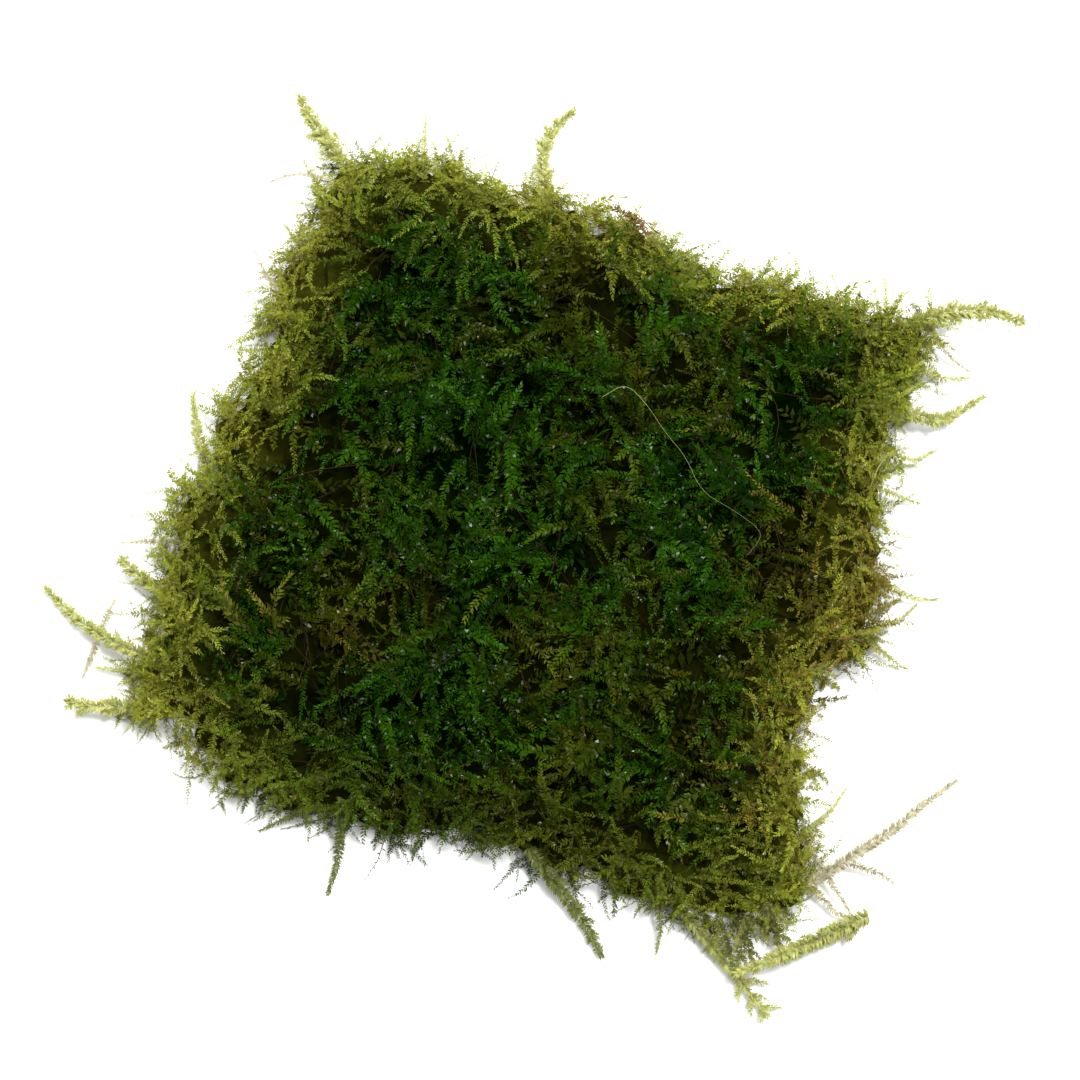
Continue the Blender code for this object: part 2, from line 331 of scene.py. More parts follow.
def moss_cover_tree():
    """Roots shoots in the input surface, picked from a collection, and leans them every way."""
    tree, given = new_geometry_tree("moss cover", [
        ("Shoots", "Collection"), ("Density", "Float"), ("Gaps", "Float"), ("Upright", "Float"),
        ("Spin", "Float"), ("Comb", "Float"), ("Lean Low", "Float"), ("Lean High", "Float"),
        ("Twist", "Float"), ("Reach", "Float"), ("Depth Low", "Float"), ("Depth High", "Float"),
        ("Relief", "Float"), ("Scale Low", "Float"), ("Scale High", "Float"), ("Floor", "Float"),
        ("Seed", "Int"), ("Material", "Material")])
    position = add_node(tree, "GeometryNodeInputPosition").outputs[0]
    rim = stored_value(tree, "rim")
    outward = stored_value(tree, "outward", "FLOAT_VECTOR")
    # Tufts and the dark gaps between them are about 4 mm across.
    tufts = mottle(tree, position, 240.0, 1.0)
    thick = mapped(tree, tufts, (0.38, 0.55), (given["Gaps"], 1.0))
    points = add_node(tree, "GeometryNodeDistributePointsOnFaces", {
        "Mesh": given["Geometry"], "Density": given["Density"], "Seed": given["Seed"]},
        distribute_method="RANDOM")
    seeds = [maths(tree, "ADD", given["Seed"], step)
             for step in (11.0, 23.0, 37.0, 51.0, 67.0, 83.0, 97.0)]
    chance = random_number(tree, 0.0, 1.0, seeds[0])
    bare = add_node(tree, "FunctionNodeCompare", {0: chance, 1: thick}, data_type="FLOAT",
                    operation="GREATER_THAN").outputs[0]
    rooted = add_node(tree, "GeometryNodeDeleteGeometry", {
        "Geometry": points.outputs["Points"], "Selection": bare}, domain="POINT")

    lean = random_number(tree, given["Lean Low"], given["Lean High"], seeds[1])
    rise = maths(tree, "SINE", lean)
    rise = maths(tree, "MAXIMUM", rise, 0.0)
    reach = maths(tree, "MULTIPLY", rise, given["Reach"])
    depth = random_number(tree, given["Depth Low"], given["Depth High"], seeds[2])
    depth = maths(tree, "ADD", depth, reach)
    valley = mapped(tree, tufts, (0.35, 0.6), (given["Relief"], 0.0))
    depth = maths(tree, "ADD", depth, valley)
    thin = mapped(tree, rim, result=(1.0, 0.35))
    depth = maths(tree, "MULTIPLY", depth, thin)
    depth = maths(tree, "MULTIPLY", depth, -1.0)
    sink = add_node(tree, "ShaderNodeVectorMath", {0: points.outputs["Normal"], "Scale": depth},
                    operation="SCALE").outputs[0]

    up = add_node(tree, "ShaderNodeMix", {"Factor": given["Upright"], 4: points.outputs["Normal"],
                                          5: (0.0, 0.0, 1.0)}, data_type="VECTOR").outputs[1]
    base = add_node(tree, "FunctionNodeAxesToRotation", {"Primary Axis": up, "Secondary Axis": outward},
                    primary_axis="Z", secondary_axis="Y").outputs[0]
    back = maths(tree, "MULTIPLY", given["Spin"], -1.0)
    # Neighbours lie much the same way, in patches about 12 mm across.
    whorl = mottle(tree, position, 85.0)
    whorl = maths(tree, "SUBTRACT", whorl, 0.5)
    whorl = maths(tree, "MULTIPLY", whorl, given["Comb"])
    spin = maths(tree, "ADD", whorl, random_number(tree, back, given["Spin"], seeds[3]))
    spin = add_node(tree, "ShaderNodeCombineXYZ", {"Z": spin})
    untwist = maths(tree, "MULTIPLY", given["Twist"], -1.0)
    pose = add_node(tree, "ShaderNodeCombineXYZ", {
        "X": lean, "Y": random_number(tree, untwist, given["Twist"], seeds[4])})
    rotation = base
    for turn in (spin, pose):
        step = add_node(tree, "FunctionNodeEulerToRotation", {"Euler": turn.outputs[0]}).outputs[0]
        rotation = turned_by(tree, rotation, step)

    # Each root's place and turn are fixed before the roots sink, while they still know their normal.
    kept_turn = stored(tree, rooted.outputs[0], "turn", rotation, "QUATERNION", "POINT")
    sunk = add_node(tree, "GeometryNodeSetPosition", {"Geometry": kept_turn, "Offset": sink})
    turned = stored_value(tree, "turn", "QUATERNION")
    kinds = add_node(tree, "GeometryNodeCollectionInfo", {
        "Collection": given["Shoots"], "Separate Children": True, "Reset Children": True}).outputs[0]
    short = mapped(tree, rim, result=(1.0, 0.55))
    scale = random_number(tree, given["Scale Low"], given["Scale High"], seeds[5])
    shoots = add_node(tree, "GeometryNodeInstanceOnPoints", {
        "Points": sunk.outputs[0], "Instance": kinds, "Pick Instance": True, "Rotation": turned,
        "Scale": maths(tree, "MULTIPLY", short, scale)})
    tone = random_number(tree, 0.0, 1.0, seeds[6])
    toned = stored(tree, shoots.outputs[0], "tone", tone, "FLOAT", "INSTANCE")
    real = add_node(tree, "GeometryNodeRealizeInstances", {"Geometry": toned})
    # Below the Floor height the shoots are pressed together, and never reach the ground.
    spot = add_node(tree, "ShaderNodeSeparateXYZ", {0: position}).outputs
    low = maths(tree, "MINIMUM", spot["Z"], given["Floor"])
    high = maths(tree, "SUBTRACT", spot["Z"], low)
    room = maths(tree, "SUBTRACT", maths(tree, "MULTIPLY", given["Floor"], 2.0), low)
    pressed = maths(tree, "DIVIDE", maths(tree, "POWER", given["Floor"], 2.0), room)
    spot = add_node(tree, "ShaderNodeCombineXYZ", {
        "X": spot["X"], "Y": spot["Y"], "Z": maths(tree, "ADD", pressed, high)})
    laid = add_node(tree, "GeometryNodeSetPosition", {
        "Geometry": real.outputs[0], "Position": spot.outputs[0]})
    painted = add_node(tree, "GeometryNodeSetMaterial", {
        "Geometry": laid.outputs[0], "Material": given["Material"]})
    add_node(tree, "NodeGroupOutput", {0: painted.outputs[0]})
    return tree


def grown_mesh(source, tree, values, name):
    """The mesh that a node tree makes of an object; the object and its modifier are removed."""
    modifier = source.modifiers.new("grow", "NODES")
    modifier.node_group = tree
    for item in tree.interface.items_tree:
        if item.in_out == "INPUT" and item.name in values:
            modifier[item.identifier] = values[item.name]
    source.update_tag()
    depsgraph = bpy.context.evaluated_depsgraph_get()
    mesh = bpy.data.meshes.new_from_object(
        source.evaluated_get(depsgraph), preserve_all_data_layers=True, depsgraph=depsgraph)
    mesh.name = name
    bpy.data.objects.remove(source)
    return mesh


def tree_named(name, make):
    return bpy.data.node_groups.get(name) or make()


# ---------------------------------------------------------------- shoots

KINDS = ("shoot_kinds", "old_kinds", "stem_kinds")     # collections of shoot shapes


def link(data, name, collection=None):
    piece = bpy.data.objects.new(name, data)
    (collection or bpy.context.scene.collection).objects.link(piece)
    return piece


def shoot_curve(name, lines):
    """A curve object with one spline for each line of (point, leaf size, tilt)."""
    curve = bpy.data.curves.new(name, "CURVE")
    curve.dimensions = "3D"
    curve.twist_mode = "Z_UP"
    for line in lines:
        spline = curve.splines.new("POLY")
        spline.points.add(len(line) - 1)
        for control, (point, leaf_size, tilt) in zip(spline.points, line):
            control.co = (*point, 1.0)
            control.radius = leaf_size
            control.tilt = tilt
    return link(curve, name)


def bent_line(start, heading, length, sideways, droop, tilt, leaf_size, steps):
    """Points from start along heading, an angle in the XY plane, that bend sideways and down."""
    points = []
    place = Vector(start)
    for i in range(steps + 1):
        share = i / steps
        points.append((place.copy(), leaf_size, tilt * share))
        across = heading + sideways * (share - 0.5)
        down = droop * (share - 0.35)
        place += Vector((math.cos(across) * math.cos(down), math.sin(across) * math.cos(down),
                         -math.sin(down))) * (length / steps)
    return points


def make_leaf(name, settings, slimness):
    """A keeled pointed leaf of four faces along +Y, its upper side up."""
    half, lift = settings.width * slimness / 2, settings.width * 0.22
    shape = bmesh.new()
    corners = [(0, 0, 0), (half, settings.length * 0.40, lift), (0, settings.length, 0),
               (-half, settings.length * 0.40, lift)]
    bmesh.ops.convex_hull(shape, input=[shape.verts.new(corner) for corner in corners])
    mesh = bpy.data.meshes.new(name)
    shape.to_mesh(mesh)
    shape.free()
    return link(mesh, name)


class MOSS_OT_shoot_kinds(bpy.types.Operator):
    """Grows the shoot shapes that the mat is covered with, and the bare old stems"""
    bl_idname = "moss.shoot_kinds"
    bl_label = "Shoot Kinds"

    def execute(self, context):
        leaf_settings = context.scene.moss_leaf
        leaf = make_leaf("leaf", leaf_settings, 1.0)
        make_leaf("slim_leaf", leaf_settings, 0.7)
        rng = np.random.default_rng(5)
        leafy, old, bare = (bpy.data.collections.new(name) for name in KINDS)
        for group in (leafy, old, bare):
            context.scene.collection.children.link(group)
        tree = tree_named("leafy shoot", leafy_shoot_tree)
        values = {"Leaf": leaf, "Leaf Spacing": leaf_settings.spacing,
                  "Leaf Angle": leaf_settings.angle, "Roundness": 0.5,
                  "Stem Radius": leaf_settings.stem}
        for kind in range(14):
            length = rng.uniform(4.5, 10.0) * MM
            sideways, droop = math.radians(rng.uniform(-70, 70)), math.radians(rng.uniform(-50, 75))
            twist = rng.uniform(-0.9, 0.9)
            steps = max(4, round(length / (1.6 * MM)))
            size = rng.uniform(0.8, 1.25)
            main = bent_line((0, 0, 0), math.pi / 2, length, sideways, droop, twist, size, steps)
            lines = [main]
            for branch in range(rng.integers(0, 3)):
                foot = rng.integers(1, steps - 1)
                point, _, tilt = main[foot]
                side = 1 if rng.random() < 0.5 else -1
                heading = math.pi / 2 + sideways * (foot / steps - 0.5)
                heading += side * math.radians(rng.uniform(35, 60))
                lines.append(bent_line(point, heading, rng.uniform(1.8, 3.6) * MM, side * -0.5, 0.3,
                                       tilt, 0.8 * size, 2))
            mesh = grown_mesh(shoot_curve("shoot", lines), tree, {**values, "Seed": kind}, "shoot")
            link(mesh, f"shoot_{kind:02d}", leafy)
        for kind in range(6):
            sideways, droop = math.radians(rng.uniform(-60, 60)), math.radians(rng.uniform(-40, 40))
            line = bent_line((0, 0, 0), math.pi / 2, rng.uniform(7, 12) * MM, sideways, droop,
                             0.4, 2.2, 5)
            mesh = grown_mesh(shoot_curve("old", [line]), tree, {
                **values, "Leaf Spacing": 0.5 * MM, "Leaf Angle": math.radians(70), "Seed": kind},
                "old_shoot")
            link(mesh, f"old_{kind:02d}", old)
        for kind in range(5):
            sideways, droop = math.radians(rng.uniform(-120, 120)), math.radians(rng.uniform(-50, 50))
            line = bent_line((0, 0, 0), math.pi / 2, rng.uniform(8, 16) * MM, sideways, droop,
                             0.0, 0.02, 6)
            mesh = grown_mesh(shoot_curve("stem", [line]), tree, {
                **values, "Leaf Spacing": 2.5 * MM, "Stem Radius": 0.11 * MM, "Seed": kind}, "stem")
            link(mesh, f"stem_{kind:02d}", bare)
        return {"FINISHED"}


# ---------------------------------------------------------------- the mat

# The layers kept inside the mat's edge.
INWARD = ("old_growth", "rim_growth", "old_stems", "moss_underside")
BASE = 0.01 * MM            # a point of a solid that is lower lies on the ground
DOWNWARD = -0.9             # a face whose normal points lower is the mat's underside
FLOOR = 1.2 * MM            # below this height the shoots are pressed together
RIM_WIDTH = 13.0 * MM       # how far in from its edge the mat thins
GLOW_WIDTH = 8.5 * MM       # how far in from its edge the painted glow of light shining through it reaches
SHADED_SPOT = (2 * MM, -40 * MM)    # the middle of the front, where the painted glow is dimmed most: painted shade
SHADED_REACH = 38 * MM
SHADE = 0.92                # how much of the painted glow that spot loses
FELT_BOTTOM = 0.4 * MM      # the height of the felt's rim
FELT_HOLLOW = 2.4 * MM      # how far its underside is hollowed
FELT_SHARE = 0.62           # the felt's height over the mat's
FELT_DRAWN_IN = 0.04        # how much narrower than the mat it is
# Spots where the shoots have yellowed: place from the frame's origin and reach, in mm, and strength.
AGED_SPOTS = (((40, 4), 15, 0.9), ((39, -10), 12, 0.85), ((34, -22), 12, 0.35), ((-33, -27), 20, 0.15),
              ((-36, 22), 12, 0.15), ((-4, 38), 8, 0.4))


def glow_at(place):
    """How much painted light shines through the thin edge at a place: least at the middle of the front,
    as painted shade.
    """
    return 1.0 - SHADE * max(0.0, 1.0 - (math.dist(place, SHADED_SPOT) / SHADED_REACH) ** 2)


def base_ring(shape):
    """The points of a solid's rim on the floor."""
    return np.array([vertex.co.to_2d() for vertex in shape.verts if vertex.co.z < BASE])


def mat_surface():
    """A merged copy of the mat's solid that knows how near its edge each point is, and the way out."""
    shape = bmesh.new()
    shape.from_mesh(frame["nodes"][MAT_NODE].data)
    bmesh.ops.remove_doubles(shape, verts=shape.verts, dist=0.01 * MM)
    shape.normal_update()
    shape.faces.index_update()
    ring = base_ring(shape)
    middle = ring.mean(axis=0)
    rim = shape.verts.layers.float.new("rim")
    glow = shape.verts.layers.float.new("glow")
    age = shape.verts.layers.float.new("age")
    outward = shape.verts.layers.float_vector.new("outward")
    for vertex in shape.verts:
        flat = np.array(vertex.co.to_2d())
        distance = np.hypot(*(ring - flat).T).min()
        vertex[rim] = max(0.0, 1.0 - distance / RIM_WIDTH)
        # Painted light through the thin edge, dimmed at the front as painted shade.
        vertex[glow] = max(0.0, 1.0 - distance / GLOW_WIDTH) * glow_at(flat)
        vertex[age] = max(strength * max(0.0, 1.0 - math.dist(flat / MM, spot) / radius)
                          for spot, radius, strength in AGED_SPOTS)
        way = Vector((vertex.normal.x, vertex.normal.y, 0.0))
        way += 0.3 * Vector((*(flat - middle), 0.0)).normalized()
        vertex[outward] = way.normalized()
    return shape


def surface_part(shape, name, wanted, inward, flat):
    """A mesh object of the wanted faces of a surface, and their area.

    Inward turns the way out of the mat round; flat lays the faces on the floor, face down.
    """
    unwanted = {face.index for face in shape.faces if not wanted(face)}
    part = shape.copy()
    bmesh.ops.delete(part, geom=[face for face in part.faces if face.index in unwanted],
                     context="FACES")
    if inward:
        outward = part.verts.layers.float_vector["outward"]
        for vertex in part.verts:
            vertex[outward] = -vertex[outward]
    if flat:
        for vertex in part.verts:
            vertex.co.z = 0.0
        bmesh.ops.reverse_faces(part, faces=part.faces)
    area = sum(face.calc_area() for face in part.faces)
    mesh = bpy.data.meshes.new(name)
    part.to_mesh(mesh)
    part.free()
    return link(mesh, name), area


def felt_mesh(shape, middle):
    """The lumpy felt inside the mat, dark as painted shade in the gaps between the shoots: the mat's
    solid drawn in, hollowed below and roughened.
    """
    felt = shape.copy()
    glow = felt.verts.layers.float["glow"]
    ring = base_ring(felt)
    low_faces = [face for face in felt.faces if face.normal.z < DOWNWARD]
    base = bmesh.ops.dissolve_faces(felt, faces=low_faces)["region"]
    centres = bmesh.ops.poke(felt, faces=base)["verts"]
    spokes = {edge for centre in centres for edge in centre.link_edges}
    bmesh.ops.subdivide_edges(felt, edges=list(spokes), cuts=14, use_grid_fill=True)
    upper = [edge for edge in felt.edges
             if edge.calc_length() > 1.2 * MM and max(vertex.co.z for vertex in edge.verts) > BASE]
    bmesh.ops.subdivide_edges(felt, edges=upper, cuts=1, use_grid_fill=True)
    for vertex in felt.verts:
        ragged = 1.0 + 1.6 * noise.noise(vertex.co * 300.0)
        inward = Vector((middle.x - vertex.co.x, middle.y - vertex.co.y, 0.0)) * FELT_DRAWN_IN * ragged
        lump = noise.noise(vertex.co * 350.0) * 1.6 * MM + noise.noise(vertex.co * 900.0) * 0.7 * MM
        if vertex.co.z < BASE:
            distance = np.hypot(*(ring - np.array(vertex.co.to_2d())).T).min()
            height = FELT_BOTTOM + min(FELT_HOLLOW, 0.3 * distance) + 0.8 * abs(lump)
            # The painted glow fades out across the felt's underside within 3 mm of its rim.
            vertex[glow] *= max(0.0, 1.0 - distance / (3 * MM))
        else:
            height = max(2 * FELT_BOTTOM, FELT_SHARE * vertex.co.z + lump)
        vertex.co = Vector((vertex.co.x, vertex.co.y, height)) + inward
    bmesh.ops.triangulate(felt, faces=felt.faces)
    mesh = bpy.data.meshes.new("old_felt")
    felt.to_mesh(mesh)
    felt.free()
    return mesh


class MOSS_OT_cover(bpy.types.Operator):
    """Covers the mat with shoots: the top in quarters, the edge in halves, and the underside"""
    bl_idname = "moss.cover"
    bl_label = "Mat of Shoots"

    def execute(self, context):
        cover, colours = context.scene.moss_cover, context.scene.moss_colour
        shape = mat_surface()
        low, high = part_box(MAT_NODE)
        middle = (low + high) / 2
        rim = shape.verts.layers.float["rim"]
        leaves = moss_leaf_material("wet_moss_leaf", colours, 0.8, 1.0)
        # Underside leaves: older growth, darkened further as painted shade under the mat.
        old = moss_leaf_material("old_moss_leaf_in_painted_shade", colours, 0.5, 0.55)
        # Old growth and felt: older growth, darkened far more as painted shade in the mat's deep gaps.
        dark = moss_leaf_material("old_moss_leaf_in_painted_deep_shade", colours, 0.8, 0.32, wetness=0.0)
        bark = plain_material("old_moss_stem", "140d05", "2c1f0d", 0.8, 0.6)
        kinds, olds, stems = (bpy.data.collections[name] for name in KINDS)

        # A point's rim value goes from 0 well inside the mat to 1 at its edge.
        def from_middle(face):
            return face.calc_center_median() - middle

        def is_under(face):
            return face.normal.z < DOWNWARD

        def is_middle(face):
            return not is_under(face) and max(vertex[rim] for vertex in face.verts) < 0.75

        def is_edge(face):
            return not is_under(face) and min(vertex[rim] for vertex in face.verts) > 0.55

        def is_rim(face):
            return not is_under(face) and max(vertex[rim] for vertex in face.verts) >= 0.6

        def is_top(face):
            return not is_under(face) and min(vertex[rim] for vertex in face.verts) <= 0.80

        # Every entry is an input of the moss cover tree; each layer says what differs from the top.
        top = {"Shoots": kinds, "Gaps": 0.15, "Upright": 0.0, "Spin": 1.3, "Comb": 16.0,
               "Lean Low": math.radians(-5), "Lean High": math.radians(58), "Twist": 0.7,
               "Reach": 7.0 * MM, "Depth Low": -0.3 * MM, "Depth High": 3.2 * MM,
               "Relief": 3.0 * MM, "Scale Low": 0.6, "Scale High": 1.3, "Material": leaves}
        edge = {**top, "Gaps": 0.6, "Upright": 0.55, "Spin": math.radians(80), "Comb": 0.0,
                "Lean Low": math.radians(-12), "Lean High": math.radians(35), "Reach": 2.0 * MM,
                "Depth Low": 1.0 * MM, "Depth High": 5.0 * MM, "Relief": 1.0 * MM,
                "Scale Low": 0.8, "Scale High": 1.35}
        under = {**top, "Gaps": 0.8, "Spin": 1.4, "Comb": 0.0, "Lean Low": 0.0,
                 "Lean High": math.radians(5), "Twist": 0.2, "Reach": 0.0, "Depth Low": 0.3 * MM,
                 "Depth High": 2.2 * MM, "Relief": 0.0, "Material": old}
        stem = {**top, "Shoots": stems, "Gaps": 0.9, "Spin": 1.4, "Comb": 0.0,
                "Lean Low": math.radians(-10), "Lean High": math.radians(35), "Reach": 0.0,
                "Depth Low": 2.5 * MM, "Depth High": 7.0 * MM, "Relief": 0.0, "Material": bark}
        # The old growth takes the darkest leaf colour: painted shade in the mat's deep gaps, and partly
        # older growth.
        old_growth = {**stem, "Shoots": olds, "Gaps": 1.0, "Depth Low": 5.0 * MM,
                      "Depth High": 9.0 * MM, "Lean Low": math.radians(-15),
                      "Lean High": math.radians(20), "Material": dark}
        rim_growth = {**stem, "Shoots": kinds, "Gaps": 1.0, "Spin": 2.0, "Depth Low": 0.5 * MM,
                      "Depth High": 3.0 * MM, "Lean Low": math.radians(-5),
                      "Lean High": math.radians(25), "Scale Low": 0.8, "Scale High": 1.2,
                      "Material": leaves}
        jobs = []
        for x_side, x_name in ((-1, "left"), (1, "right")):
            for y_side, y_name in ((-1, "front"), (1, "back")):
                jobs.append((f"moss_top_{y_name}_{x_name}", top, cover.top_count,
                             lambda face, x=x_side, y=y_side: is_top(face)
                             and from_middle(face).x * x >= 0 and from_middle(face).y * y >= 0))
        for y_side, y_name in ((-1, "front"), (1, "back")):
            jobs.append((f"moss_edge_{y_name}", edge, cover.edge_count,
                         lambda face, y=y_side: is_edge(face) and from_middle(face).y * y >= 0))
        jobs.append(("old_growth", old_growth, cover.old_count, is_middle))
        jobs.append(("rim_growth", rim_growth, cover.rim_count, is_rim))
        jobs.append(("moss_underside", under, cover.under_count, is_middle))
        jobs.append(("old_stems", stem, cover.stem_count, is_top))

        tree = tree_named("moss cover", moss_cover_tree)
        for number, (name, values, count, wanted) in enumerate(jobs):
            source, area = surface_part(shape, name, wanted, name in INWARD, name == "moss_underside")
            mesh = grown_mesh(source, tree, {**values, "Density": count / area, "Floor": FLOOR,
                                             "Seed": cover.seed + 100 * number}, name)
            piece = link(mesh, name)
            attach(piece, "root")
            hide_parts(MAT_NODE)
        # The felt takes the darkest leaf colour: painted shade in the gaps between the shoots.
        felt = link(felt_mesh(shape, middle), "old_felt")
        felt.data.materials.append(dark)
        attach(felt, "root")
        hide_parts(MAT_NODE)
        shape.free()
        return {"FINISHED"}


# ---------------------------------------------------------------- loose shoots

def middle_line(node, cut_count=9):
    """The middle line of a tapered tube, thick end first: (point, radius) at cuts across its chord."""
    corners = [vertex.co for vertex in frame["nodes"][node].data.vertices]
    points = np.unique(np.round(corners, 7), axis=0)
    centre = points.mean(axis=0)
    chord = np.linalg.svd(points - centre, full_matrices=False)[2][0]
    reach = (points - centre) @ chord
    cuts = np.linspace(reach.min(), reach.max(), cut_count + 1)
    line = []
    for near, far in zip(cuts[:-1], cuts[1:]):
        ring = points[(reach >= near - 1e-6) & (reach <= far + 1e-6)]
        if len(ring) >= 6:
            middle = (ring.min(axis=0) + ring.max(axis=0)) / 2
            height = ring[:, 2].max() - ring[:, 2].min()
            line.append((Vector(middle), height / 2))
    if line[0][1] < line[-1][1]:
        line.reverse()
    line.append((line[-1][0] + (line[-1][0] - line[-2][0]) * 0.5, line[-1][1]))
    return line


# The two shoots that reach out to a third one's thick end, and the shoot that ends in a tuft.
MEETING = {"corner_loop_out": "corner_loop_back", "corner_loop_low": "corner_loop_back"}
TUFTED_NODE = "front_right_tail"
MAT_OVERLAP = 5.0 * MM      # how far a shoot that leaves the mat goes back into it
BRANCH_OVERLAP = 1.8 * MM   # how far a side branch goes back into its shoot
LEAF_SIZES = (0.75, 1.6)    # least and most, as a share of the settings' leaf
WIDE_SHOOT = 0.8 * MM       # a leafy shoot with a larger radius has side branches
TUFT_REACH = 5.5 * MM


def rooted_line(node, leaf_reach):
    """A loose shoot's line with its leaf size and tilt at each point.

    It starts further back than its solid, so that it grows out of the mat or of another shoot.
    """
    line = middle_line(node)
    start, radius = line[0]
    to_mat = min((start - vertex.co).length for vertex in frame["nodes"][MAT_NODE].data.vertices)
    overlap = MAT_OVERLAP if to_mat < 4 * MM else BRANCH_OVERLAP
    root = start + (start - line[1][0]).normalized() * overlap
    line.insert(0, (Vector((root.x, root.y, max(root.z, start.z))), radius))
    if node in MEETING:
        line[-1] = (middle_line(MEETING[node])[0][0], line[-1][1])
    thickest = max(radius for _, radius in line)
    least, most = LEAF_SIZES
    size = min(most, max(least, 1.25 * thickest / leaf_reach))
    return [(point, size, 0.0) for point, _ in line]


def side_branches(line, rng, reach, first=1):
    """Short branches to both sides of a line from its first point on, shorter towards its tip."""
    branches = []
    for i in range(first, len(line) - 1):
        point, size, tilt = line[i]
        ahead = line[i + 1][0] - line[i - 1][0]
        for side in (-1, 1):
            heading = math.atan2(ahead.y, ahead.x) + side * math.radians(rng.uniform(25, 50))
            length = reach * rng.uniform(0.6, 1.1) * (1.15 - i / len(line))
            branches.append(bent_line(point, heading, length, -side * 0.6, rng.uniform(-0.4, 0.3), 0.0,
                                      size * 0.6, 3))
    return branches


def paint(mesh, glow, age, tone):
    """Gives a whole mesh one glow, age and tone, which the leaf materials read; the glow is painted
    light.
    """
    for kind, value in (("glow", glow), ("age", age), ("tone", tone)):
        values = mesh.attributes.new(kind, "FLOAT", "POINT").data
        values.foreach_set("value", [value] * len(values))


class MOSS_OT_loose_shoots(bpy.types.Operator):
    """Grows each loose shoot along the middle of its solid"""
    bl_idname = "moss.loose_shoots"
    bl_label = "Loose Shoots"

    def execute(self, context):
        leaf, colours = context.scene.moss_leaf, context.scene.moss_colour
        slots = {part["node"]: part["material_slot"] for part in frame["record"]["subparts"]}
        leafy = moss_leaf_material("thin_moss_leaf", colours, 1.0, 0.9, 0.95, colours.loose)
        pale = moss_leaf_material("pale_moss_leaf", colours, 1.0, 0.95, 1.0, colours.pale)
        dead = plain_material("dead_moss_stem", "2b1a0a", "5a3f1c", 0.6, 0.7)
        # For each slot: its material, the leaf spacing in mm and how far round the stem the leaves go.
        looks = {"leafy_shoot": (leafy, 0.055, 1.0), "pale_shoot": (pale, 0.065, 0.9),
                 "dead_shoot": (dead, 0.6, 1.0)}
        tree = tree_named("leafy shoot", leafy_shoot_tree)
        angle = math.radians(66)
        for number, node in enumerate(LOOSE_NODES):
            rng = np.random.default_rng(100 + number)
            material, spacing, roundness = looks[slots[node]]
            radius = max(size for _, size in middle_line(node))
            line = rooted_line(node, leaf.length * math.sin(angle))
            lines = [line]
            if slots[node] == "leafy_shoot" and radius > WIDE_SHOOT:
                lines += side_branches(line, rng, 2.0 * radius)
            if node == TUFTED_NODE:
                lines += side_branches(line, rng, TUFT_REACH, len(line) - 4)
            name = "leafy_" + node
            mesh = grown_mesh(shoot_curve(name, lines), tree, {
                "Leaf": bpy.data.objects["slim_leaf"], "Leaf Spacing": spacing * MM,
                "Leaf Angle": angle, "Roundness": roundness, "Stem Radius": leaf.stem * 2,
                "Seed": number, "Material": material}, name)
            # The tip's place gives the whole shoot its painted glow, least at the front, where it is
            # painted shade.
            paint(mesh, glow_at(line[-1][0].to_2d()), 0.0, rng.uniform(0.2, 0.8))
            piece = link(mesh, name)
            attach(piece, "root")
            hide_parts(node)
        return {"FINISHED"}


# ---------------------------------------------------------------- stems and threads that lie on top

# Places from the frame's origin in mm, and how the strand looks: radius in mm, leaf spacing in mm or 0.
# The green ones fill the corner between the mat and the shoots that loop round it.
STRANDS = {
    "green_corner_inner": (((34, -40), (36, -42.5), (38, -44.5)), 0.10, 0.10),
    "green_corner_middle": (((36.5, -38.5), (38.5, -41.5), (40, -44)), 0.10, 0.10),
    "green_corner_outer": (((38.5, -36.5), (41, -39), (43, -41.5)), 0.10, 0.10),
    "green_corner_end": (((37, -40), (38, -42.5), (38, -45)), 0.10, 0.10),
    "dead_leafy_shoot": (((-0.5, 36), (-2.5, 38.5), (-4.5, 40), (-8, 40.5)), 0.09, 0.14),
    "dead_back_stem": (((1, 37), (-1.5, 40), (-5, 42)), 0.10, 0.0),
    "dead_right_stem": (((37, -4.5), (39, -3.5), (41.5, -3)), 0.13, 0.0),
    "pale_bent_stem": (((36, 20), (35.2, 17.5), (35, 14.5)), 0.15, 0.0),
    "pale_thread": (((1.5, 12.5), (3.5, 15), (6.5, 13.5), (10, 11), (13, 9.5), (16, 6), (20, 5),
                     (23.5, 4), (24.5, 3), (23.5, 0.5)), 0.045, 0.0),
}
STRAND_LIFT = 2.4 * MM      # a strand lies this far above the mat's solid, among the leaves' tips
STRAND_BRANCHES = 3.0 * MM


def rounded(points):
    """The points of a line with each corner cut twice."""
    for _ in range(2):
        cut = [share * a + (1 - share) * b
               for a, b in zip(points[:-1], points[1:]) for share in (0.75, 0.25)]
        points = [points[0], *cut, points[-1]]
    return points


